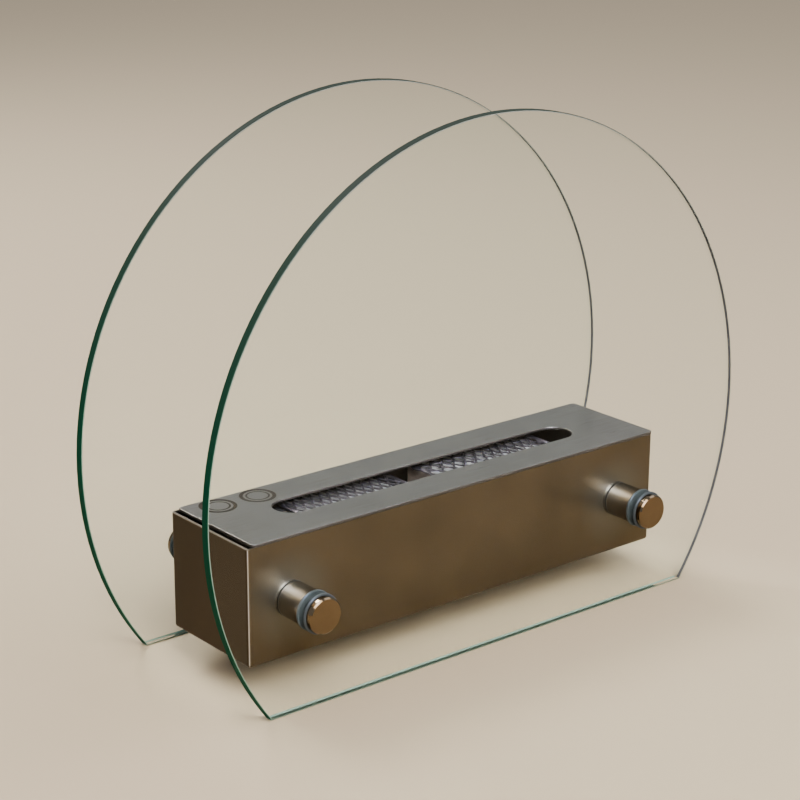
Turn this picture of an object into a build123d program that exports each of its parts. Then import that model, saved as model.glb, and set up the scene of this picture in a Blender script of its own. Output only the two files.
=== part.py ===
"""Tabletop bioethanol fireplace: a steel burner casing held between two round glass panes.

Units are millimetres. The origin is on the table, midway between the panes. +X runs along
the casing, -Y is the front and +Z is up. The panes stand on their flat lower edges and carry
the casing on four standoffs. The burner hangs in the casing from its top plate and lifts out.
"""

import os
from math import hypot

from build123d import *

# Glass panes: round discs cut flat at the foot
glass_radius = 175.0
glass_thickness = 5.0
glass_centre_height = 104.0
glass_edge_chamfer = 0.6
glass_hole_radius = 5.0

# Casing: folded sheet steel, open at the top, held clear of the table
casing_x = 1.0
casing_length = 275.0
casing_depth = 65.0
casing_height = 62.5
casing_lift = 17.0
casing_sheet = 1.5
casing_bend = 2.0

# Standoffs: one near each end of both long walls
standoff_spacing = 222.4
standoff_height = 48.2
standoff_radius = 9.5
base_ring_thickness = 1.5
barrel_length = 17.0
washer_radius = 10.5
washer_thickness = 1.5
cap_thickness = 3.5
cap_bevel = 0.8
edge_break = 0.4

# M6 thread that holds each standoff: on the cap's shank and on the screw inside the casing
thread_radius = 3.0
threaded_bore_radius = 3.05
clearance_radius = 3.25
shank_length = 17.0
screw_length = 10.0
screw_head_radius = 5.0
screw_head_height = 3.3
screw_head_taper = 15.0
screw_socket_radius = 2.0
screw_socket_depth = 2.0
screw_washer_radius = 6.0
screw_washer_thickness = 1.2
collar_radius = glass_hole_radius - 0.2

# Burner: it sits a little to the right in the casing
plate_x = 3.25
plate_length = 272.5
plate_depth = 64.0
plate_thickness = 1.5
plate_corner = 2.5
plate_edge_round = 0.4
slot_x = 4.0
slot_length = 200.0
slot_width = 20.0
slot_edge_round = 0.6
tank_length = 204.0
tank_width = 56.0
tank_depth = 46.0
tank_wall = 1.0
tank_corner = 12.0
tank_bottom_round = 3.0

# Filler well: a folded channel across the tank that keeps two pads of wool apart
well_x = -1.0
well_width = 22.0
channel_sheet = 0.8
channel_bend = 2.0
weep_hole_radius = 2.0
weep_hole_spacing = 10.0
weep_hole_count = 4
weep_hole_height = 8.0
pad_end_gap = 12.0
pad_round = 3.0
fit_gap = 0.5

# Expanded metal over each pad: the left strip is hooked over the well's edge
mesh_top_depth = 5.0
mesh_thickness = 1.0
mesh_end_gap = 2.0
mesh_setback = 7.0
mesh_hem = 5.0
diamond_short = 5.5
diamond_long = 10.0
diamond_rows = 5
strand_width = 1.1

# Heights, and distances out from the casing's wall, that follow from the sizes above
casing_rim = casing_lift + casing_height
plate_top = casing_rim + plate_thickness
tank_floor = casing_rim - tank_depth + tank_wall
mesh_top = plate_top - mesh_top_depth
wool_top = mesh_top - mesh_thickness
bush_face = base_ring_thickness + barrel_length
glass_face = bush_face + washer_thickness
outer_washer_face = glass_face + glass_thickness
cap_face = outer_washer_face + washer_thickness
head_face = -casing_sheet - screw_washer_thickness

# Each standoff's side in X and the way it faces in Y
corners = {
    "front_left": (-1, -1),
    "front_right": (1, -1),
    "rear_left": (-1, 1),
    "rear_right": (1, 1),
}


def standoff_plane(side, facing, distance):
    """The plane across a standoff's axis at this distance out from the casing's wall."""
    x = side * standoff_spacing / 2
    y = facing * (casing_depth / 2 + distance)
    return Plane(origin=(x, y, standoff_height), x_dir=(1, 0, 0), z_dir=(0, facing, 0))


def level_plane(x, height):
    """The level plane at this height, centred on this x."""
    return Plane(origin=(x, 0, height))


os.makedirs("parts", exist_ok=True)

# ---------------------------------------------------------------- glass panes
for pane_name, facing in (("front_glass_pane", -1), ("rear_glass_pane", 1)):
    inner_face = Plane(
        origin=(0, facing * (casing_depth / 2 + glass_face), 0),
        x_dir=(-facing, 0, 0),
        z_dir=(0, facing, 0),
    )
    with BuildPart() as glass_pane:
        with BuildSketch(inner_face):
            with Locations((0, glass_centre_height)):
                Circle(glass_radius)
            with Locations((0, -glass_radius)):
                Rectangle(2 * glass_radius, 2 * glass_radius, mode=Mode.SUBTRACT)
            with Locations((0, standoff_height)):
                with GridLocations(standoff_spacing, 0, 2, 1):
                    Circle(glass_hole_radius, mode=Mode.SUBTRACT)
        extrude(amount=glass_thickness)
        outline = glass_pane.edges().filter_by(lambda edge: edge.length > glass_radius)
        chamfer(outline, glass_edge_chamfer)
    glass_pane.part.label = pane_name
    export_step(glass_pane.part, f"parts/{pane_name}.step")

# ---------------------------------------------------------------- casing
with BuildPart() as casing:
    with BuildSketch(level_plane(casing_x, casing_lift)):
        RectangleRounded(casing_length, casing_depth, casing_bend)
    extrude(amount=casing_height)
    fillet(casing.faces().sort_by(Axis.Z)[0].edges(), casing_bend)
    offset(amount=-casing_sheet, openings=casing.faces().sort_by(Axis.Z)[-1])
    with BuildSketch(Plane.XZ):
        with Locations((0, standoff_height)):
            with GridLocations(standoff_spacing, 0, 2, 1):
                Circle(clearance_radius)
    extrude(amount=casing_depth, both=True, mode=Mode.SUBTRACT)
casing.part.label = "casing"
export_step(casing.part, "parts/casing.step")

# ---------------------------------------------------------------- standoffs
# From the casing outwards: base ring, barrel, bush, glass, washer and end cap.
for corner, (side, facing) in corners.items():
    with BuildPart() as base_ring:
        with BuildSketch(standoff_plane(side, facing, 0)):
            Circle(standoff_radius)
            Circle(clearance_radius, mode=Mode.SUBTRACT)
        extrude(amount=base_ring_thickness)
    base_ring.part.label = f"standoff_base_ring_{corner}"
    export_step(base_ring.part, f"parts/standoff_base_ring_{corner}.step")

    with BuildPart() as barrel:
        with BuildSketch(standoff_plane(side, facing, base_ring_thickness)):
            Circle(standoff_radius)
            Circle(threaded_bore_radius, mode=Mode.SUBTRACT)
        extrude(amount=barrel_length)
        chamfer(barrel.edges().filter_by(GeomType.CIRCLE).group_by(SortBy.RADIUS)[-1], edge_break)
    barrel.part.label = f"standoff_barrel_{corner}"
    export_step(barrel.part, f"parts/standoff_barrel_{corner}.step")

    # The bush's flange keeps the barrel off the glass, and its collar lines the hole.
    with BuildPart() as glass_bush:
        with BuildSketch(standoff_plane(side, facing, bush_face)):
            Circle(washer_radius)
        extrude(amount=washer_thickness)
        chamfer(glass_bush.edges().filter_by(GeomType.CIRCLE), edge_break)
        with BuildSketch(standoff_plane(side, facing, glass_face)):
            Circle(collar_radius)
        extrude(amount=glass_thickness - edge_break)
        with BuildSketch(standoff_plane(side, facing, bush_face)):
            Circle(clearance_radius)
        extrude(amount=washer_thickness + glass_thickness, mode=Mode.SUBTRACT)
    glass_bush.part.label = f"glass_bush_{corner}"
    export_step(glass_bush.part, f"parts/glass_bush_{corner}.step")

    with BuildPart() as outer_washer:
        with BuildSketch(standoff_plane(side, facing, outer_washer_face)):
            Circle(washer_radius)
            Circle(clearance_radius, mode=Mode.SUBTRACT)
        extrude(amount=washer_thickness)
        chamfer(outer_washer.edges().filter_by(GeomType.CIRCLE).group_by(SortBy.RADIUS)[-1], edge_break)
    outer_washer.part.label = f"outer_washer_{corner}"
    export_step(outer_washer.part, f"parts/outer_washer_{corner}.step")

    # The cap is turned in one piece with the shank that screws into the barrel.
    with BuildPart() as end_cap:
        with BuildSketch(standoff_plane(side, facing, cap_face)):
            Circle(standoff_radius)
        extrude(amount=cap_thickness)
        outer_rim = end_cap.faces().sort_by(Axis.Y)[-1 if facing == 1 else 0].edges()
        chamfer(outer_rim, cap_bevel)
        with BuildSketch(standoff_plane(side, facing, cap_face)):
            Circle(thread_radius)
        extrude(amount=-shank_length)
        shank_tip = end_cap.faces().sort_by(Axis.Y)[0 if facing == 1 else -1].edges()
        chamfer(shank_tip, edge_break)
    end_cap.part.label = f"end_cap_{corner}"
    export_step(end_cap.part, f"parts/end_cap_{corner}.step")

# ---------------------------------------------------------------- screws inside the casing
with BuildPart() as casing_screws:
    for side, facing in corners.values():
        with BuildSketch(standoff_plane(side, facing, head_face)):
            Circle(thread_radius)
        extrude(amount=screw_length)
        with BuildSketch(standoff_plane(side, facing, head_face)):
            Circle(screw_head_radius)
        extrude(amount=-screw_head_height, taper=screw_head_taper)
        with BuildSketch(standoff_plane(side, facing, head_face - screw_head_height)):
            RegularPolygon(screw_socket_radius, 6, major_radius=False)
        extrude(amount=screw_socket_depth, mode=Mode.SUBTRACT)
casing_screws.part.label = "casing_screws"
export_step(casing_screws.part, "parts/casing_screws.step")

with BuildPart() as screw_washers:
    for side, facing in corners.values():
        with BuildSketch(standoff_plane(side, facing, -casing_sheet)):
            Circle(screw_washer_radius)
            Circle(clearance_radius, mode=Mode.SUBTRACT)
        extrude(amount=-screw_washer_thickness)
screw_washers.part.label = "screw_washers"
export_step(screw_washers.part, "parts/screw_washers.step")

# ---------------------------------------------------------------- burner top plate
with BuildPart() as burner_top_plate:
    with BuildSketch(level_plane(plate_x, casing_rim)):
        RectangleRounded(plate_length, plate_depth, plate_corner)
    extrude(amount=plate_thickness)
    fillet(burner_top_plate.faces().sort_by(Axis.Z)[-1].edges(), plate_edge_round)
    with BuildSketch(level_plane(slot_x, casing_rim)):
        SlotOverall(slot_length, slot_width)
    extrude(amount=plate_thickness, mode=Mode.SUBTRACT)
    slot_rim = burner_top_plate.faces().sort_by(Axis.Z)[-1].inner_wires()
    fillet(slot_rim.edges(), slot_edge_round)
burner_top_plate.part.label = "burner_top_plate"
export_step(burner_top_plate.part, "parts/burner_top_plate.step")

# ---------------------------------------------------------------- fuel tank
# It is welded under the plate, with its rounded ends clear of the screws inside the casing.
with BuildPart() as fuel_tank:
    with BuildSketch(level_plane(slot_x, casing_rim)):
        RectangleRounded(tank_length, tank_width, tank_corner)
    extrude(amount=-tank_depth)
    fillet(fuel_tank.faces().sort_by(Axis.Z)[0].edges(), tank_bottom_round)
    offset(amount=-tank_wall, openings=fuel_tank.faces().sort_by(Axis.Z)[-1])
fuel_tank.part.label = "fuel_tank"
export_step(fuel_tank.part, "parts/fuel_tank.step")

# ---------------------------------------------------------------- filler channel
# A folded U of sheet stands across the tank. Weep holes near its foot feed both wool pads.
channel_reach = tank_width - 2 * tank_bottom_round
channel_front = Plane(origin=(well_x, -channel_reach / 2, 0), x_dir=(1, 0, 0), z_dir=(0, -1, 0))
channel_middle = Plane(origin=(well_x, 0, 0), x_dir=(0, 1, 0), z_dir=(1, 0, 0))
outer_half = well_width / 2 + channel_sheet
with BuildPart() as filler_channel:
    with BuildSketch(channel_front):
        with BuildLine():
            fold = FilletPolyline(
                (-outer_half, wool_top),
                (-outer_half, tank_floor),
                (outer_half, tank_floor),
                (outer_half, wool_top),
                radius=channel_bend,
            )
            offset(fold, amount=channel_sheet, side=Side.LEFT)
        make_face()
    extrude(amount=-channel_reach)
    with BuildSketch(channel_middle):
        with Locations((0, tank_floor + weep_hole_height)):
            with GridLocations(weep_hole_spacing, 0, weep_hole_count, 1):
                Circle(weep_hole_radius)
    extrude(amount=well_width, both=True, mode=Mode.SUBTRACT)
filler_channel.part.label = "filler_channel"
export_step(filler_channel.part, "parts/filler_channel.step")

# ---------------------------------------------------------------- wool pads
pad_width = tank_width - 2 * tank_wall - 2 * fit_gap
tank_reach = tank_length / 2 - tank_wall
for hand, side in (("left", -1), ("right", 1)):
    pad_start = well_x + side * (well_width / 2 + channel_sheet + fit_gap)
    pad_end = slot_x + side * (tank_reach - pad_end_gap)
    with BuildPart() as wool_pad:
        with BuildSketch(level_plane((pad_start + pad_end) / 2, tank_floor)):
            Rectangle(abs(pad_end - pad_start), pad_width)
        extrude(amount=wool_top - tank_floor)
        fillet(wool_pad.edges().filter_by(Axis.Z), pad_round)
        fillet(wool_pad.faces().sort_by(Axis.Z)[0].edges(), pad_round)
    wool_pad.part.label = f"wool_pad_{hand}"
    export_step(wool_pad.part, f"parts/wool_pad_{hand}.step")

# ---------------------------------------------------------------- burner meshes
# Expanded metal is a lattice of diamonds: one grid, and a second one set between its rows.
cell_half_width = diamond_short / 2
cell_half_length = diamond_long / 2
cell_inradius = cell_half_width * cell_half_length / hypot(cell_half_width, cell_half_length)
opening_share = 1 - strand_width / 2 / cell_inradius
opening_x = opening_share * cell_half_width
opening_y = opening_share * cell_half_length
diamond_corners = ((opening_x, 0), (0, opening_y), (-opening_x, 0), (0, -opening_y))

hooked_edge = well_x - well_width / 2 + fit_gap + mesh_thickness
flat_edge = well_x + well_width / 2 + mesh_setback
mesh_reach = tank_reach - pad_end_gap - mesh_end_gap
for hand, mesh_start, mesh_end in (
    ("left", slot_x - mesh_reach, hooked_edge),
    ("right", flat_edge, slot_x + mesh_reach),
):
    mesh_length = mesh_end - mesh_start
    diamond_columns = int(mesh_length / diamond_short)
    with BuildPart() as burner_mesh:
        with BuildSketch(level_plane((mesh_start + mesh_end) / 2, wool_top)):
            Rectangle(mesh_length, channel_reach)
            with GridLocations(diamond_short, diamond_long, diamond_columns, diamond_rows):
                Polygon(*diamond_corners, align=None, mode=Mode.SUBTRACT)
            with GridLocations(diamond_short, diamond_long, diamond_columns - 1, diamond_rows - 1):
                Polygon(*diamond_corners, align=None, mode=Mode.SUBTRACT)
        extrude(amount=mesh_thickness)
        if hand == "left":
            with BuildSketch(level_plane(hooked_edge - mesh_thickness / 2, wool_top)):
                Rectangle(mesh_thickness, channel_reach)
            extrude(amount=mesh_thickness - mesh_hem)
            fold_line = burner_mesh.edges().filter_by(Axis.Y).group_by(Axis.Z)[-1]
            fillet(fold_line.sort_by(Axis.X)[-1], mesh_thickness / 2)
    burner_mesh.part.label = f"burner_mesh_{hand}"
    export_step(burner_mesh.part, f"parts/burner_mesh_{hand}.step")
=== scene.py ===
# %% [markdown]
# # A tabletop bioethanol fireplace, dressed in Blender
#
# The fireplace is a steel burner in a steel box, held between two round panes of float glass. The
# CAD gives every rigid piece at its true size, so this script's work is the looks: what each
# surface is made of, the soft wool in the burner, the twist in the expanded metal, and the light
# it stands in.
#
# Everything is in metres, in the CAD's own frame: +X along the casing, -Y to the front, +Z up.

# %% Load the fixed frame
from math import radians

import bmesh
import bpy
from mathutils import Euler, Matrix, Vector, noise


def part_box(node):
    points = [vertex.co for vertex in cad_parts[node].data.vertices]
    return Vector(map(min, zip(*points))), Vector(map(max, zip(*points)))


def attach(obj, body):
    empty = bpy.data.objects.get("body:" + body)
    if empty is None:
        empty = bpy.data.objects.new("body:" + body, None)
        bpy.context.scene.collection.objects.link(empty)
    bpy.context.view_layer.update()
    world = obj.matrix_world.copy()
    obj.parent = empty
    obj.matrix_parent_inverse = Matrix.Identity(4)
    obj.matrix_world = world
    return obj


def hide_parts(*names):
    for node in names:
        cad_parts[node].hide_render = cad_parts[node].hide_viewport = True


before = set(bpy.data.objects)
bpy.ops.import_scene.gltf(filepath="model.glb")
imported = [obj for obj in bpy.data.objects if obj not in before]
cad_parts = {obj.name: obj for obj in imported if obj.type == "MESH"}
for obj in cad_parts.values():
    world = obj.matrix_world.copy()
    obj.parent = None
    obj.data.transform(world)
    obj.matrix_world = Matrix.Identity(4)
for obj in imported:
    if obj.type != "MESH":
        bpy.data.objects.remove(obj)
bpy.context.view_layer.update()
MM = 0.001
print("pieces in the frame:", len(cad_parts))

# %% [markdown]
# ## The camera
#
# A photograph is matched by its camera first, because every later choice is judged through it.
# This one stands a little over a metre away, to the left of the front, and looks down at about
# 18 degrees through a short telephoto lens, which keeps the two panes nearly the same size.

# %% Place the camera
camera_azimuth = 39.275
camera_tilt = 18.149
camera_roll = 0.279
camera_distance = 1116.3 * MM
camera_aim = Vector((-9.3, 7.1, 119.0)) * MM
lens_mm = 96.18
sensor_mm = 36.0

camera_data = bpy.data.cameras.new("studio_camera")
camera_data.lens = lens_mm
camera_data.sensor_width = sensor_mm
camera = bpy.data.objects.new("studio_camera", camera_data)
bpy.context.scene.collection.objects.link(camera)
turn = Euler((radians(90 - camera_tilt), 0, -radians(camera_azimuth)), "XYZ").to_matrix()
turn = turn @ Matrix.Rotation(radians(camera_roll), 3, "Z")
stand = Matrix.Translation(camera_aim + turn @ Vector((0, 0, camera_distance)))
camera.matrix_world = stand @ turn.to_4x4()
bpy.context.scene.camera = camera
print("camera at", [round(value / MM) for value in camera.matrix_world.translation], "mm")

# %% [markdown]
# ## Helpers for materials
#
# Paint and metal colours are given as they look on a screen, so they are written as sRGB hex values.
# A shader wants linear light, so one function turns the one into the other. A second one adds a
# node, with its settings and its links, which keeps each finish below short enough to read. Many
# nodes have sockets of the same name, of which their settings leave one in use, and that is the one
# it takes.

# %% Colour and node helpers
def linear(hex_colour):
    """An sRGB hex colour as linear red, green, blue and alpha."""
    channels = [int(hex_colour[i:i + 2], 16) / 255 for i in (1, 3, 5)]
    return (*(c / 12.92 if c <= 0.04045 else ((c + 0.055) / 1.055) ** 2.4 for c in channels), 1.0)


def in_use(sockets, name=None):
    """The first socket, or the first of this name, that a node's settings leave in use."""
    return next(socket for socket in sockets if socket.enabled and name in (None, socket.name))


def add_node(tree, kind, inputs=None, **settings):
    """A shader node with these settings.

    An input is given by its number or its name. It gets a value, or a link to a socket or to the
    first output of a node.
    """
    node = tree.nodes.new(f"ShaderNode{kind}")
    for name, value in settings.items():
        setattr(node, name, value)
    for key, value in (inputs or {}).items():
        socket = node.inputs[key] if isinstance(key, int) else in_use(node.inputs, key)
        if isinstance(value, bpy.types.Node):
            value = in_use(value.outputs)
        if isinstance(value, bpy.types.NodeSocket):
            tree.links.new(value, socket)
        else:
            socket.default_value = value
    return node


print("a screen's middle grey in linear light:", round(linear("#808080")[0], 3))

# %% [markdown]
# Each finish starts from an empty material and reads a point's place in the frame, which is what
# Object coordinates give here. The scale of a pattern is worked out from a real size.

# %% Start a material and put it on pieces
def new_material(name):
    """An empty material, its node tree and the place of the point that is shaded."""
    material = bpy.data.materials.new(name)
    material.use_nodes = True
    tree = material.node_tree
    tree.nodes.clear()
    return material, tree, add_node(tree, "TexCoord").outputs["Object"]


def per_feature(size_mm):
    """The texture scale that gives one feature every size_mm millimetres."""
    return 1 / (size_mm * MM)


def dress(material, *pieces):
    """Gives pieces this material alone. Each is an object made here, or a CAD node's name."""
    for piece in pieces:
        mesh = (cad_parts[piece] if isinstance(piece, str) else piece).data
        mesh.materials.clear()
        mesh.materials.append(material)
    print(material.name, "on", len(pieces), "pieces")


corners = ["front_left", "front_right", "rear_left", "rear_right"]
print("corners that have a standoff:", corners)

# %% [markdown]
# ## Float glass
#
# Soda-lime float glass is clear through its face and green through its edge, because iron in it
# takes a little red from every millimetre that light travels. Tracing that long path exactly is
# slow and noisy, so the pane is clear glass with a thin absorption, and its rim gets the colour
# that the eye sees there. Where the rim lies follows from the pane's own circle. A mask finds it:
# a number that is 1 on that part of the surface and 0 elsewhere.

# %% Find the rim and the foot of a pane
rim_depth = 0.75 * MM
pane_low, pane_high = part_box("front_glass_pane")
pane_radius = (pane_high.x - pane_low.x) / 2
pane_thickness = pane_high.y - pane_low.y


def place_from_centre(tree, place, node):
    """X, Y and Z from the centre of a pane's circle."""
    low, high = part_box(node)
    centre = Vector(((low.x + high.x) / 2, (low.y + high.y) / 2, high.z - pane_radius))
    from_centre = add_node(tree, "VectorMath", {0: place, 1: centre}, operation="SUBTRACT")
    return add_node(tree, "SeparateXYZ", {0: from_centre}).outputs


def round_rim(tree, axes):
    flat = add_node(tree, "CombineXYZ", {"X": axes["X"], "Z": axes["Z"]})
    reach = add_node(tree, "VectorMath", {0: flat}, operation="LENGTH")
    return add_node(tree, "Math", {0: reach, 1: pane_radius - rim_depth}, operation="GREATER_THAN")


def flat_foot(tree, axes):
    lowest = rim_depth - (pane_high.z - pane_radius)
    return add_node(tree, "Math", {0: axes["Z"], 1: lowest}, operation="LESS_THAN")


print("pane radius", round(pane_radius / MM), "mm, thickness", round(pane_thickness / MM), "mm")

# %% [markdown]
# Each pane has two holes, one for each of its standoffs. A hole's wall is found by its distance
# from the standoff's axis, a little further out than the hole itself, so that the whole wall is
# inside. The front and the rear standoffs share their axes, so the front ones serve both panes.

# %% Find the holes of a pane
hole_radius = 5.0 * MM
hole_margin = 0.1 * MM


def from_standoff(tree, place, corner):
    """How far a point is from the axis of this corner's standoff, which runs along Y."""
    low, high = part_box(f"end_cap_{corner}")
    axis = (low + high) / 2 * Vector((1, 0, 1))
    upright = add_node(tree, "VectorMath", {0: place, 1: (1, 0, 1)}, operation="MULTIPLY")
    return add_node(tree, "VectorMath", {0: upright, 1: axis}, operation="DISTANCE")


def drilled_holes(tree, place):
    holes = []
    for corner in ("front_left", "front_right"):
        away = from_standoff(tree, place, corner)
        inside = {0: away, 1: hole_radius + hole_margin}
        holes.append(add_node(tree, "Math", inside, operation="LESS_THAN"))
    return add_node(tree, "Math", {0: holes[0], 1: holes[1]}, operation="MAXIMUM")


print("a hole's wall is sought within", round((hole_radius + hole_margin) / MM, 1), "mm of its axis")

# %% [markdown]
# The middle of the rim is polished and deep green. The foot, and the narrow arrises on both sides of
# the rim, are ground and a pale grey green. Higher up both colours are painted grey: a painted
# reflection of the pale light above, which the upper rim shows in place of its green.

# %% Colour the rim
arris_width = 0.25 * MM
grey_start = 20.0 * MM
grey_end = 150.0 * MM


def ground_parts(tree, off_middle, foot):
    side = pane_thickness / 2 - arris_width
    arris = add_node(tree, "Math", {0: off_middle, 1: side}, operation="GREATER_THAN")
    return add_node(tree, "Math", {0: foot, 1: arris}, operation="MAXIMUM")


def edge_colour(tree, axes, ground):
    """The colour of the rim from outside, where ground is the mask of its ground parts."""
    # Painted reflection: higher up, the rim colours are mixed towards grey.
    near_top = add_node(tree, "MapRange", {
        "Value": axes["Z"], "From Min": grey_start, "From Max": grey_end,
    })
    polished_rim = add_node(tree, "Mix", {
        "Factor": near_top, "A": linear("#114A37"), "B": linear("#38413A"),
    }, data_type="RGBA")
    ground_rim = add_node(tree, "Mix", {
        "Factor": near_top, "A": linear("#93AA9E"), "B": linear("#8B8D88"),
    }, data_type="RGBA")
    return add_node(tree, "Mix", {
        "Factor": ground, "A": polished_rim, "B": ground_rim,
    }, data_type="RGBA")


print("the rim turns grey", round(grey_start / MM), "to", round(grey_end / MM), "mm over its centre")

# %% [markdown]
# The far side of the rim is seen through the glass, from inside. There it shows as one even grey
# line, so only a strip along its middle is drawn, and what lies beside the strip lets light
# straight out.

# %% Draw the near rim and a strip of the far one
strip_half_width = 1.2 * MM


def drawn_edges(tree, place, node):
    """A mask of the edges that are drawn, their colour, and a mask of what lets light out."""
    axes = place_from_centre(tree, place, node)
    rim = round_rim(tree, axes)
    foot = flat_foot(tree, axes)
    off_middle = add_node(tree, "Math", {0: axes["Y"]}, operation="ABSOLUTE")
    outside_colour = edge_colour(tree, axes, ground_parts(tree, off_middle, foot))

    from_inside = add_node(tree, "NewGeometry").outputs["Backfacing"]
    from_outside = add_node(tree, "Math", {0: 1.0, 1: from_inside}, operation="SUBTRACT")
    in_strip = add_node(tree, "Math", {0: off_middle, 1: strip_half_width}, operation="LESS_THAN")
    drawn = add_node(tree, "Math", {0: from_outside, 1: in_strip}, operation="MAXIMUM")
    drawn_rim = add_node(tree, "Math", {0: rim, 1: drawn}, operation="MULTIPLY")
    edge = add_node(tree, "Math", {0: drawn_rim, 1: foot}, operation="MAXIMUM")

    far_rim = add_node(tree, "Math", {0: rim, 1: from_inside}, operation="MULTIPLY")
    far_strip = add_node(tree, "Math", {0: far_rim, 1: in_strip}, operation="MULTIPLY")
    beside_strip = add_node(tree, "Math", {0: far_rim, 1: far_strip}, operation="SUBTRACT")
    rim_colour = add_node(tree, "Mix", {
        "Factor": far_rim, "A": outside_colour, "B": linear("#68676C"),
    }, data_type="RGBA")
    return edge, rim_colour, beside_strip


print("strip of the far rim", round(2 * strip_half_width / MM, 1), "mm wide")

# %% [markdown]
# Float glass bends light with an index of 1.52 and mirrors nearly a tenth of what stands before
# it. Over a pale floor that mirror image lies like fog on the dark steel behind, which the
# photograph doesn't show. A flat pane hardly shows how much it bends light, so the index is
# lowered to 1.15, which keeps the mirror image faint and the view through the pane clear.

# %% Clear float glass with a green edge
glass_index = 1.15
ground_roughness = 0.6


def glass_finish(node):
    material, tree, place = new_material(f"float_glass_{node.split('_')[0]}")
    edge, rim_colour, beside_strip = drawn_edges(tree, place, node)
    drilled = drilled_holes(tree, place)
    face_or_rim = add_node(tree, "Mix", {
        "Factor": edge, "A": linear("#FDFFFE"), "B": rim_colour,
    }, data_type="RGBA")
    colour = add_node(tree, "Mix", {
        "Factor": drilled, "A": face_or_rim, "B": linear("#8A979C"),
    }, data_type="RGBA")
    frosted = add_node(tree, "Math", {0: edge, 1: drilled}, operation="MAXIMUM")
    clear = add_node(tree, "Math", {0: 1.0, 1: frosted}, operation="SUBTRACT")
    rough = add_node(tree, "Math", {0: frosted, 1: ground_roughness}, operation="MULTIPLY")
    glass = add_node(tree, "BsdfPrincipled", {
        "Base Color": colour, "Transmission Weight": clear, "Roughness": rough, "IOR": glass_index,
    })
    # Lamps shine through the pane, a little dimmed, instead of casting the shadow of a solid.
    lets_through = add_node(tree, "BsdfTransparent", {"Color": linear("#F4F8F6")})
    to_lamp = add_node(tree, "LightPath").outputs["Is Shadow Ray"]
    for_lamps = add_node(tree, "Math", {0: to_lamp, 1: clear}, operation="MULTIPLY")
    straight = add_node(tree, "Math", {0: for_lamps, 1: beside_strip}, operation="MAXIMUM")
    surface = add_node(tree, "MixShader", {0: straight, 1: glass, 2: lets_through})
    iron_green = add_node(tree, "VolumeAbsorption", {"Color": linear("#BFE3D3"), "Density": 4.0})
    add_node(tree, "OutputMaterial", {"Surface": surface, "Volume": iron_green})
    dress(material, node)


glass_finish("front_glass_pane")
glass_finish("rear_glass_pane")

# %% [markdown]
# ## Stainless steel
#
# All the sheet here is 304 stainless. What changes from piece to piece is how its skin was made:
# ground satin on the casing, brushed along its length on the plate, turned on the standoffs and
# polished on their caps. One recipe serves them all: a grain that is stretched along the tool's
# path gives bump and an uneven roughness, and together with a broad cloudiness, such as handling
# leaves, it shades the colour a little. Where a part of the surface has another skin, a mask
# mixes that in.
#
# Steel shows what it mirrors, and a pale studio gives it little that is dark or warm. The colours
# of the casing, the plate and the caps are darker and browner than bare stainless for that
# reason.

# %% One recipe for ground, brushed and turned steel
cloud_mm = 35.0
# Most of a noise lies in the first range, and most of the sum of two in the second.
grain_range = (0.3, 0.7)
sum_range = (0.65, 1.35)


def steel_finish(name, light, dark, roughness, grain_mm, stretch=(1, 1, 1), depth_mm=0.01,
                 spread=0.05, metal=1.0, marks=()):
    """Stainless steel whose grain is stretched this many times longer along X, Y and Z.

    Each mark is a function that makes its mask, and the colour, roughness and metallic inside it.
    """
    material, tree, place = new_material(name)
    squeeze = [1 / length for length in stretch]
    drawn_out = add_node(tree, "Mapping", {"Vector": place, "Scale": squeeze})
    grain = add_node(tree, "TexNoise", {
        "Vector": drawn_out, "Scale": per_feature(grain_mm), "Detail": 3.0, "Roughness": 0.6,
    })
    cloud = add_node(tree, "TexNoise", {
        "Vector": place, "Scale": per_feature(cloud_mm), "Detail": 2.0,
    })
    uneven = add_node(tree, "Math", {0: grain, 1: cloud}, operation="ADD")
    worn = add_node(tree, "MapRange", {
        "Value": uneven, "From Min": sum_range[0], "From Max": sum_range[1],
    })
    colour = add_node(tree, "Mix", {
        "Factor": worn, "A": linear(light), "B": linear(dark),
    }, data_type="RGBA")
    rough = add_node(tree, "MapRange", {
        "Value": grain, "From Min": grain_range[0], "From Max": grain_range[1],
        "To Min": roughness - spread, "To Max": roughness + spread,
    })
    for make_mask, mark_colour, mark_roughness, mark_metal in marks:
        mask = make_mask(tree, place)
        colour = add_node(tree, "Mix", {
            "Factor": mask, "A": colour, "B": linear(mark_colour),
        }, data_type="RGBA")
        rough = add_node(tree, "Mix", {"Factor": mask, "A": rough, "B": mark_roughness})
        metal = add_node(tree, "Mix", {"Factor": mask, "A": metal, "B": mark_metal})
    bump = add_node(tree, "Bump", {"Height": grain, "Distance": depth_mm * MM, "Strength": 1.0})
    skin = add_node(tree, "BsdfPrincipled", {
        "Base Color": colour, "Metallic": metal, "Roughness": rough, "Normal": bump,
    })
    add_node(tree, "OutputMaterial", {"Surface": skin})
    return material


print("cloudiness: one patch every", cloud_mm, "mm")

# %% [markdown]
# The casing is folded from sheet with a fine ground satin skin. It has no clear brush lines, only
# a soft speckle, drawn here at 0.9 mm because a real grit of about 0.2 mm would not show.
#
# Its colour isn't the same all over. A pale line is painted up each of the four upright corners: a
# painted highlight, on a strip that is also rougher. The cut rim of the two ends is painted paler
# too: a painted highlight. The ends are painted darker than the long walls: painted shade, for the
# darker surroundings that they mirror. Each is found by how deep a point lies under the casing's
# outside.

# %% Find the seams, the ends and the rim of the casing
casing_low, casing_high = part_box("casing")
casing_half = (casing_high - casing_low) / 2
seam_depths = (0.9 * MM, 0.7 * MM)
end_depths = (0.8 * MM, 0.5 * MM)
rim_depths = (0.45 * MM, 0.25 * MM)
cut_depths = (1.6 * MM, 1.4 * MM)


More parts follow.
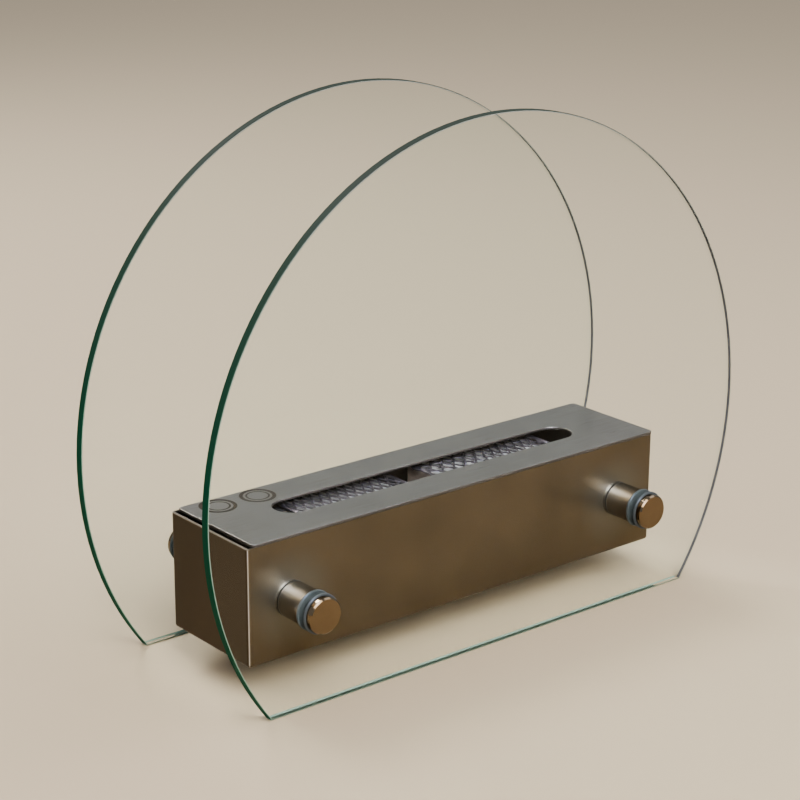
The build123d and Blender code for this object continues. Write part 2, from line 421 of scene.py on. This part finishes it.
def from_casing_middle(tree, place):
    """How far a point is from the casing's middle, as separate lengths along X, Y and Z."""
    middle = (casing_low + casing_high) / 2
    from_middle = add_node(tree, "VectorMath", {0: place, 1: middle}, operation="SUBTRACT")
    lengths = add_node(tree, "VectorMath", {0: from_middle}, operation="ABSOLUTE")
    return add_node(tree, "SeparateXYZ", {0: lengths}).outputs


def under_face(tree, reach, face, depths):
    """A mask that goes from 0 to 1 between two depths under a face at this reach."""
    return add_node(tree, "MapRange", {
        "Value": reach, "From Min": face - depths[0], "From Max": face - depths[1],
    })


# Painted highlight: a pale line up each upright corner, on a rougher strip.
def painted_highlight_seams(tree, place):
    lengths = from_casing_middle(tree, place)
    at_end = under_face(tree, lengths["X"], casing_half.x, seam_depths)
    at_wall = under_face(tree, lengths["Y"], casing_half.y, seam_depths)
    return add_node(tree, "Math", {0: at_end, 1: at_wall}, operation="MULTIPLY")


# Painted shade: the two ends are darker than the long walls.
def painted_shade_ends(tree, place):
    lengths = from_casing_middle(tree, place)
    return under_face(tree, lengths["X"], casing_half.x, end_depths)


# Painted highlight: a paler rim on top of the two ends.
def painted_highlight_rim(tree, place):
    height = add_node(tree, "SeparateXYZ", {0: place}).outputs["Z"]
    at_rim = under_face(tree, height, casing_high.z, rim_depths)
    at_end = under_face(tree, from_casing_middle(tree, place)["X"], casing_half.x, cut_depths)
    return add_node(tree, "Math", {0: at_rim, 1: at_end}, operation="MULTIPLY")


print("casing", [round(2 * length / MM, 1) for length in casing_half], "mm")

# %% [markdown]
# The inside is painted dark and dull: painted shade, as it lies in the casing's own shadow. Round
# the standoffs the wall is painted greyer: a painted reflection of their bright barrels, which fades
# out over a few centimetres.

# %% Find the inside of the casing and the wall round the standoffs
inside_depths = (0.8 * MM, 1.2 * MM)
grey_reach = 28.0 * MM
grey_core = 12.0 * MM


# Painted shade: the inside of the casing is dark.
def painted_shade_inside(tree, place):
    lengths = from_casing_middle(tree, place)
    off_end = under_face(tree, lengths["X"], casing_half.x, inside_depths)
    off_wall = under_face(tree, lengths["Y"], casing_half.y, inside_depths)
    between_walls = add_node(tree, "Math", {0: off_end, 1: off_wall}, operation="MULTIPLY")
    height = add_node(tree, "SeparateXYZ", {0: place}).outputs["Z"]
    off_floor = add_node(tree, "MapRange", {
        "Value": height,
        "From Min": casing_low.z + inside_depths[0], "From Max": casing_low.z + inside_depths[1],
    })
    return add_node(tree, "Math", {0: between_walls, 1: off_floor}, operation="MULTIPLY")


# Painted reflection of the bright barrels: the wall is greyer round the standoffs.
def painted_reflection_by_standoffs(tree, place):
    rounds = [
        add_node(tree, "MapRange", {
            "Value": from_standoff(tree, place, corner),
            "From Min": grey_reach, "From Max": grey_core,
        })
        for corner in ("front_left", "front_right")
    ]
    return add_node(tree, "Math", {0: rounds[0], 1: rounds[1]}, operation="MAXIMUM")


print("the wall is greyer within", round(grey_reach / MM), "mm of a standoff's axis")

# %% [markdown]
# The marks are laid over one another in this order, so the seams lie over the ends.

# %% Ground satin on the casing
casing_skin = steel_finish(
    "satin_ground_stainless", "#6B5B44", "#564836",
    roughness=0.42, grain_mm=0.9, depth_mm=0.00012, spread=0.015,
    marks=[
        (painted_reflection_by_standoffs, "#6A6152", 0.40, 1.0),
        (painted_shade_ends, "#4A4034", 0.38, 1.0),
        (painted_highlight_seams, "#BBB2A7", 0.45, 1.0),
        (painted_shade_inside, "#2B2622", 0.6, 1.0),
        (painted_highlight_rim, "#857A6B", 0.4, 1.0),
    ],
)
dress(casing_skin, "casing")

# %% [markdown]
# The standoffs are turned on a lathe. Their grain runs round the axis, which is Y, so it is
# stretched in X and Z. The narrow groove between a barrel and its base ring is painted dark: painted
# shade in the groove. The caps are polished after turning, which leaves almost no grain.

# %% Turned and polished steel on the standoffs
barrel_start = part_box("standoff_barrel_rear_left")[0].y
groove_end = 1.2 * MM
groove_core = 0.9 * MM
round_axis = (12, 1, 12)


# Painted shade in the groove between a barrel and its base ring.
def painted_shade_groove(tree, place):
    across = add_node(tree, "SeparateXYZ", {0: place}).outputs["Y"]
    off_middle = add_node(tree, "Math", {0: across}, operation="ABSOLUTE")
    return add_node(tree, "MapRange", {
        "Value": off_middle,
        "From Min": barrel_start + groove_end, "From Max": barrel_start + groove_core,
    })


ring_steel = steel_finish(
    "turned_stainless", "#BDB9B3", "#A5A19B",
    roughness=0.2, grain_mm=0.5, stretch=round_axis, depth_mm=0.003,
)
dress(ring_steel, *[f"standoff_base_ring_{corner}" for corner in corners])
barrel_steel = steel_finish(
    "turned_stainless_with_painted_groove_shade", "#A9A49C", "#918C84",
    roughness=0.15, grain_mm=0.5, stretch=round_axis, depth_mm=0.003,
    marks=[(painted_shade_groove, "#1C1815", 0.6, 0.3)],
)
dress(barrel_steel, *[f"standoff_barrel_{corner}" for corner in corners])
polished = steel_finish(
    "polished_stainless", "#7D6D5A", "#736451",
    roughness=0.07, grain_mm=0.8, stretch=(8, 1, 8), depth_mm=0.0005, spread=0.02,
)
dress(polished, *[f"end_cap_{corner}" for corner in corners])

# %% [markdown]
# Screws and their washers inside the casing are plain bright fasteners. The tank is dark and brown,
# as stainless becomes where it is often hot. The channel is painted a pale pinkish colour: painted
# light, the glow of the burner's flames on it. A mirror would show the studio instead of that
# colour, so the channel has no metallic. Its left side is painted nearly black: painted shade.

# %% Steel that is hidden or heated, and a channel painted with flame light
channel_low, channel_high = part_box("filler_channel")
channel_middle = (channel_low.x + channel_high.x) / 2
side_shade_start = 2.0 * MM
side_shade_full = 8.0 * MM


# Painted shade: the channel's left side is nearly black.
def painted_shade_side(tree, place):
    across = add_node(tree, "SeparateXYZ", {0: place}).outputs["X"]
    return add_node(tree, "MapRange", {
        "Value": across,
        "From Min": channel_middle - side_shade_start, "From Max": channel_middle - side_shade_full,
    })


bright = steel_finish(
    "plain_bright_stainless", "#B7B2AA", "#A5A098", roughness=0.3, grain_mm=0.6,
)
dress(bright, "casing_screws", "screw_washers")
heated = steel_finish(
    "heat_darkened_stainless", "#574C40", "#42392F", roughness=0.5, grain_mm=1.2,
)
dress(heated, "fuel_tank")
# Painted flame light on the channel, with painted shade on its left side.
painted_flame_light = steel_finish(
    "stainless_painted_flame_light", "#F4E0DA", "#E2CBC4", roughness=0.5, grain_mm=1.5, metal=0.0,
    marks=[(painted_shade_side, "#2A2421", 0.7, 0.3)],
)
dress(painted_flame_light, "filler_channel")

# %% [markdown]
# ## The burner plate
#
# The plate is brushed along its length. Two round signs, each of a wide ring and a narrow one, are
# etched in its left end, where such plates carry marks; they are left empty here. Etching leaves a
# dark, matt oxide, so the rings are a mask over the brushed steel. The plate's sheared edges are
# dull, and painted dark: painted shade, as in the shadow gap between the plate and the casing.

# %% Brushed plate with etched rings
plate_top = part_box("burner_top_plate")[1].z
sign_centres = (Vector((-115.5, 22.0, 0)) * MM, Vector((-91.5, 21.8, 0)) * MM)
rings = ((8.5 * MM, 1.0 * MM), (5.8 * MM, 0.5 * MM))
ring_blur = 0.15 * MM
edge_depths = (0.03 * MM, 0.2 * MM)


def etched_ring(tree, away, radius, half_width):
    off = add_node(tree, "Math", {0: away, 1: radius}, operation="SUBTRACT")
    off_line = add_node(tree, "Math", {0: off}, operation="ABSOLUTE")
    return add_node(tree, "MapRange", {
        "Value": off_line,
        "From Min": half_width + ring_blur, "From Max": half_width - ring_blur,
    })


def etched_signs(tree, place):
    flat = add_node(tree, "VectorMath", {0: place, 1: (1, 1, 0)}, operation="MULTIPLY")
    mask = 0.0
    for centre in sign_centres:
        away = add_node(tree, "VectorMath", {0: flat, 1: centre}, operation="DISTANCE")
        for radius, half_width in rings:
            ring = etched_ring(tree, away, radius, half_width)
            mask = add_node(tree, "Math", {0: mask, 1: ring}, operation="MAXIMUM")
    return mask


# Painted shade along the plate's edges.
def painted_shade_edge(tree, place):
    height = add_node(tree, "SeparateXYZ", {0: place}).outputs["Z"]
    return under_face(tree, height, plate_top, edge_depths)


plate_skin = steel_finish(
    "brushed_stainless_plate", "#958D83", "#837C73",
    roughness=0.32, grain_mm=0.6, stretch=(60, 1, 1), depth_mm=0.0008,
    marks=[(etched_signs, "#3E3428", 0.6, 1.0), (painted_shade_edge, "#5C534A", 0.5, 1.0)],
)
dress(plate_skin, "burner_top_plate")

# %% [markdown]
# ## Clear plastic washers
#
# Steel must not press on glass, so a washer of clear polycarbonate sits on each side of the pane.
# It is a thin clear ring, slightly milky and blue, and shows as a band beside the barrel. Its
# collar, inside the hole in the glass, is painted paler than its rims: a painted reflection, as the
# glass round it shows. Real ones are clearer: these are nearly opaque, in the colours that they show
# against the glass.

# %% Clear washers
milk_mm = 3.0
seat_gap = 0.02 * MM
washers = [f"{kind}_{corner}" for kind in ("glass_bush", "outer_washer") for corner in corners]


# Painted reflection: the collar inside the pane is paler.
def painted_reflection_collar(tree, place):
    low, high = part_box("rear_glass_pane")
    across = add_node(tree, "SeparateXYZ", {0: place}).outputs["Y"]
    off_middle = add_node(tree, "Math", {0: across}, operation="ABSOLUTE")
    past_inner = add_node(tree, "Math", {0: off_middle, 1: low.y}, operation="GREATER_THAN")
    before_outer = add_node(tree, "Math", {0: off_middle, 1: high.y}, operation="LESS_THAN")
    return add_node(tree, "Math", {0: past_inner, 1: before_outer}, operation="MULTIPLY")


def washer_finish():
    material, tree, place = new_material("clear_polycarbonate")
    cloud = add_node(tree, "TexNoise", {
        "Vector": place, "Scale": per_feature(milk_mm), "Detail": 2.0,
    })
    rough = add_node(tree, "MapRange", {"Value": cloud, "To Min": 0.3, "To Max": 0.5})
    colour = add_node(tree, "Mix", {
        "Factor": painted_reflection_collar(tree, place), "A": linear("#565C60"), "B": linear("#A9B4B8"),
    }, data_type="RGBA")
    body = add_node(tree, "BsdfPrincipled", {
        "Base Color": colour, "Roughness": rough, "Specular IOR Level": 0.15,
        "IOR": 1.45, "Transmission Weight": 0.05,
    })
    add_node(tree, "OutputMaterial", {"Surface": body})
    dress(material, *washers)


washer_finish()
# Seated a hair off the glass, so that the renderer can tell the two touching faces apart.
for name in washers:
    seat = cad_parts[name].modifiers.new("seat_gap", "DISPLACE")
    seat.mid_level = 0.0
    seat.strength = -seat_gap

# %% [markdown]
# ## Expanded metal
#
# Expanded metal is slit and pulled open, which twists each strand: one side of every crossing
# lifts and the other dips, and that is what catches the light. The CAD's lattice is flat, so a
# merged copy of it is twisted here. Across the sheet, a corner's height follows how far it
# stands from the nearest crossing, so left corners of an opening rise and right corners dip.
# The strands are also thinned, because the CAD draws them as stout as a solid needs to be. The
# right strip's inner end is buckled: it is pulled over the filler well and its strands stand up
# unevenly. Cuts across the strip let its end bend. A noise crumples it, and its random offsets come
# from the clock unless they get a seed, so a fixed seed keeps the strip the same at every run.

# %% Bend the end of the right strip
buckled_length = 30 * MM
pull = 13 * MM
pulled_back_to = 36 * MM
pull_fade = 16 * MM
crumple_size = 4 * MM
crumple_depth = 1.5 * MM
crumple_seed = 2
mean_lift = 1.2 * MM
cut_spacing_mm = 2.5
cuts_each_way = 9
noise.seed_set(crumple_seed)


def buckled(point, low):
    """How far a point near the right strip's inner end has been pushed out of place."""
    near_end = max(0.0, 1 - (point.x - low.x) / buckled_length)
    near_front = min(1.0, (pulled_back_to - point.y) / pull_fade)
    crumple = noise.noise_vector(point / crumple_size)
    return near_end * Vector((
        crumple_depth * crumple.x - pull * near_front,
        crumple_depth * crumple.y,
        mean_lift + mean_lift * crumple.z,
    ))


def cut_across(shape):
    """Cuts the strands of a strip in rows, so that it can bend between them."""
    for row in range(-cuts_each_way, cuts_each_way + 1):
        bmesh.ops.bisect_plane(
            shape, geom=shape.verts[:] + shape.edges[:] + shape.faces[:],
            plane_co=(0, cut_spacing_mm * row * MM, 0), plane_no=(0, 1, 0),
        )


print("the right strip is cut", 2 * cuts_each_way + 1, "times")

# %% [markdown]
# A crossing comes every half opening along the strip. The top of the sheet is the lattice, and
# what hangs below it is the left strip's hook, which stays as it is.

# %% Twist the expanded metal
opening_length = 5.5 * MM
crossing_pitch = opening_length / 2
lattice_depth = 1.1 * MM
strand_lift = 0.8 * MM
strand_trim = 0.15 * MM


def merged_copy(node, name):
    """A bmesh and an object for a new piece that starts as this CAD node's shape."""
    shape = bmesh.new()
    shape.from_mesh(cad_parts[node].data)
    bmesh.ops.remove_doubles(shape, verts=shape.verts, dist=0.001 * MM)
    mesh = bpy.data.meshes.new(name)
    piece = bpy.data.objects.new(name, mesh)
    bpy.context.scene.collection.objects.link(piece)
    return shape, piece


def twisted_strip(hand):
    shape, piece = merged_copy(f"burner_mesh_{hand}", f"expanded_metal_{hand}")
    low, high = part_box(f"burner_mesh_{hand}")
    middle = (low.x + high.x) / 2
    if hand == "right":
        cut_across(shape)
    shape.normal_update()
    for vert in shape.verts:
        steps = (vert.co.x - middle) / crossing_pitch
        vert.co -= Vector((vert.normal.x, vert.normal.y, 0)) * strand_trim
        if vert.co.z > high.z - lattice_depth:
            vert.co.z = (vert.co.z + high.z) / 2 + strand_lift * (steps - round(steps))
        if hand == "right":
            vert.co += buckled(vert.co, low)
    shape.to_mesh(piece.data)
    shape.free()
    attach(piece, "burner")
    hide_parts(f"burner_mesh_{hand}")
    print(piece.name, "polygons", len(piece.data.polygons))
    return piece


strips = [twisted_strip("left"), twisted_strip("right")]

# %% [markdown]
# The strips are plain steel, dark, grey and dull, as steel becomes that has been red hot.

# %% Burnt steel on the strips
burnt = steel_finish(
    "burnt_expanded_steel", "#675D5E", "#474142", roughness=0.55, grain_mm=2.0, spread=0.1,
)
dress(burnt, *strips)

# %% [markdown]
# ## Ceramic wool
#
# The wool soaks up the fuel and holds it along the slot. It is a cut block of fine white fibres,
# pressed into the tank, so its faces are nearly flat but never smooth. A box with rounded edges
# is remeshed finely, and noise at two sizes pushes the surface in: broad dents, and small tufts
# of fibre. Towards the filler well the top sags. It stays a little inside the CAD's block all
# round.

# %% Start each pad as a finely meshed box
pad_clearance = 0.3 * MM
pad_round = 3.0 * MM
fibre_mesh_size = 1.0 * MM


def pad_block(name, low, high):
    """An object whose mesh is a box with rounded edges, remeshed finely."""
    shape = bmesh.new()
    bmesh.ops.create_cube(shape, size=1.0)
    size = high - low - Vector((2, 2, 2)) * pad_clearance
    bmesh.ops.scale(shape, vec=size, verts=shape.verts)
    bmesh.ops.translate(shape, vec=(low + high) / 2, verts=shape.verts)
    bmesh.ops.bevel(
        shape, geom=shape.edges[:], offset=pad_round, offset_type="OFFSET",
        segments=4, profile=0.5, affect="EDGES", material=-1,
    )
    mesh = bpy.data.meshes.new(name)
    shape.to_mesh(mesh)
    shape.free()
    piece = bpy.data.objects.new(name, mesh)
    bpy.context.scene.collection.objects.link(piece)
    remesh = piece.modifiers.new("fibres", "REMESH")
    remesh.mode = "VOXEL"
    remesh.voxel_size = fibre_mesh_size
    view = bpy.context.evaluated_depsgraph_get()
    fine = bpy.data.meshes.new_from_object(piece.evaluated_get(view))
    piece.modifiers.clear()
    piece.data = fine
    fine.name = name
    return piece


print("pads are remeshed at", fibre_mesh_size / MM, "mm")

# %% [markdown]
# This noise has no random offsets and reads only each point's place, so it needs no seed.

# %% Push dents and tufts into the pads
dent_size = 14 * MM
dent_depth = 0.35 * MM
tuft_size = 2.2 * MM
tuft_depth = 0.25 * MM
mean_depth = 0.5 * MM
sag_reach = 10 * MM
sag_depth = 1.2 * MM


def soften(mesh, well_side):
    """Pushes the surface of a pad in, and lets its top sag near the well at this X."""
    soft = bmesh.new()
    soft.from_mesh(mesh)
    soft.normal_update()
    for vert in soft.verts:
        dent = noise.noise(vert.co / dent_size)
        tuft = noise.noise(vert.co / tuft_size)
        from_well = abs(vert.co.x - well_side) / sag_reach
        on_top = max(0.0, vert.normal.z)
        vert.co -= vert.normal * (mean_depth + dent_depth * dent + tuft_depth * tuft)
        vert.co.z -= sag_depth * on_top * max(0.0, 1 - from_well ** 2)
    soft.to_mesh(mesh)
    soft.free()
    for face in mesh.polygons:
        face.use_smooth = True


def wool_pad(hand):
    low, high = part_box(f"wool_pad_{hand}")
    piece = pad_block(f"ceramic_wool_{hand}", low, high)
    soften(piece.data, high.x if hand == "left" else low.x)
    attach(piece, "burner")
    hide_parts(f"wool_pad_{hand}")
    print(piece.name, "faces", len(piece.data.polygons))
    return piece


pads = [wool_pad("left"), wool_pad("right")]

# %% [markdown]
# Alumina-silica fibre is white and scatters light, with grey hollows between the fibres. These pads
# are painted a pale grey: partly the tone of used wool, partly painted shade, as the wool lies deep
# under the slot. They are brown towards their outer ends. A stretched noise draws matted fibres
# about 0.5 mm wide, and a broader one their clumps.

# %% Fibres on the pads
fibre_mm = 0.5
clump_mm = 4.0
fibre_depth = 0.15 * MM
shade_range = (0.12, 0.42)
darkening_start = 10 * MM
darkening_full = 5 * MM


# The pads turn dark brown towards their outer ends.
def darker_outer_ends(tree, place):
    left_end, right_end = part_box("wool_pad_left")[0].x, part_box("wool_pad_right")[1].x
    middle, reach = (left_end + right_end) / 2, (right_end - left_end) / 2
    along = add_node(tree, "SeparateXYZ", {0: place}).outputs["X"]
    off_middle = add_node(tree, "Math", {0: along, 1: middle}, operation="SUBTRACT")
    distance = add_node(tree, "Math", {0: off_middle}, operation="ABSOLUTE")
    return under_face(tree, distance, reach, (darkening_start, darkening_full))


def wool_finish():
    material, tree, place = new_material("ceramic_fibre_wool")
    combed = add_node(tree, "Mapping", {
        "Vector": place, "Scale": (1, 0.3, 0.6), "Rotation": (0.3, 0.2, 0.6),
    })
    fibre = add_node(tree, "TexNoise", {
        "Vector": combed, "Scale": per_feature(fibre_mm), "Detail": 4.0, "Distortion": 1.5,
    })
    clump = add_node(tree, "TexNoise", {
        "Vector": place, "Scale": per_feature(clump_mm), "Detail": 2.0,
    })
    shade = add_node(tree, "Math", {0: fibre, 1: clump}, operation="MULTIPLY")
    raised = add_node(tree, "MapRange", {
        "Value": shade, "From Min": shade_range[0], "From Max": shade_range[1],
    })
    # Painted a pale grey: partly the tone of used wool, partly painted shade.
    wool = add_node(tree, "Mix", {
        "Factor": raised, "A": linear("#B2AFB1"), "B": linear("#D0CED0"),
    }, data_type="RGBA")
    colour = add_node(tree, "Mix", {
        "Factor": darker_outer_ends(tree, place), "A": wool, "B": linear("#352D29"),
    }, data_type="RGBA")
    bump = add_node(tree, "Bump", {"Height": shade, "Distance": fibre_depth, "Strength": 1.0})
    body = add_node(tree, "BsdfPrincipled", {
        "Base Color": colour, "Roughness": 0.95, "Normal": bump,
    })
    add_node(tree, "OutputMaterial", {"Surface": body})
    dress(material, *pads)


wool_finish()

# %% [markdown]
# ## The studio
#
# The fireplace stands on a pale, matt floor, wide enough to have no edge in the picture. It has
# no gloss, so nothing is mirrored in it.

# %% Floor
floor_reach = 8.0


def make_floor():
    shape = bmesh.new()
    bmesh.ops.create_grid(shape, x_segments=1, y_segments=1, size=floor_reach)
    mesh = bpy.data.meshes.new("floor")
    shape.to_mesh(mesh)
    shape.free()
    floor = bpy.data.objects.new("floor", mesh)
    bpy.context.scene.collection.objects.link(floor)
    material, tree, _ = new_material("pale_matt_floor")
    body = add_node(tree, "BsdfPrincipled", {
        "Base Color": linear("#CDBCA4"), "Roughness": 0.8, "Specular IOR Level": 0.0,
    })
    add_node(tree, "OutputMaterial", {"Surface": body})
    dress(material, floor)


make_floor()

# %% [markdown]
# Steel and glass show what is around them more than themselves, so the light is broad: a large
# softbox from above and to the left, weaker ones from the right and from behind, and a pale sky
# that the top plate mirrors. All of them face the point that the camera aims at.
#
# A small strong one, the glint, shows only in shiny things: it gives the standoffs their streaks.
# Anything matt would be burnt out by it, so it is hidden from every ray that has bounced off
# something matt.

# %% Lights
key_place = (-350, -1250, 1300)


def softbox(name, place_mm, size_mm, watts, colour):
    """A square soft light that faces the point that the camera aims at."""
    light = bpy.data.lights.new(name, "AREA")
    light.size = size_mm * MM
    light.energy = watts
    light.color = linear(colour)[:3]
    lamp = bpy.data.objects.new(name, light)
    bpy.context.scene.collection.objects.link(lamp)
    lamp.location = Vector(place_mm) * MM
    facing = camera_aim - lamp.location
    lamp.rotation_euler = facing.to_track_quat("-Z", "Y").to_euler()
    print(name, watts, "W")
    return lamp


softbox("key_softbox", key_place, size_mm=1300, watts=29.0, colour="#FFF9F0")
glint = softbox("glint_softbox", key_place, size_mm=600, watts=120.0, colour="#C3D0FA")
glint.visible_diffuse = False
glint.data.use_nodes = True
glow = glint.data.node_tree
matt_bounces = add_node(glow, "LightPath").outputs["Diffuse Depth"]
none_matt = add_node(glow, "Math", {0: matt_bounces, 1: 0.5}, operation="LESS_THAN")
glow.links.new(none_matt.outputs[0], glow.nodes["Emission"].inputs["Strength"])
softbox("fill_softbox", (1080, -560, 1330), size_mm=900, watts=5.0, colour="#F2F6FF")
softbox("back_softbox", (-60, 1300, 1250), size_mm=450, watts=14.0, colour="#F8F7F4")

# %% [markdown]
# The sky lights everything evenly and weakly. The look adds contrast, as a camera's own
# processing does.

# %% Sky and look
sky_strength = 0.7
world = bpy.data.worlds.new("studio_air")
world.use_nodes = True
bpy.context.scene.world = world
air = world.node_tree.nodes["Background"]
air.inputs["Color"].default_value = linear("#DDE2E8")
air.inputs["Strength"].default_value = sky_strength
bpy.context.scene.view_settings.look = "AgX - Medium High Contrast"
print("look:", bpy.context.scene.view_settings.look)
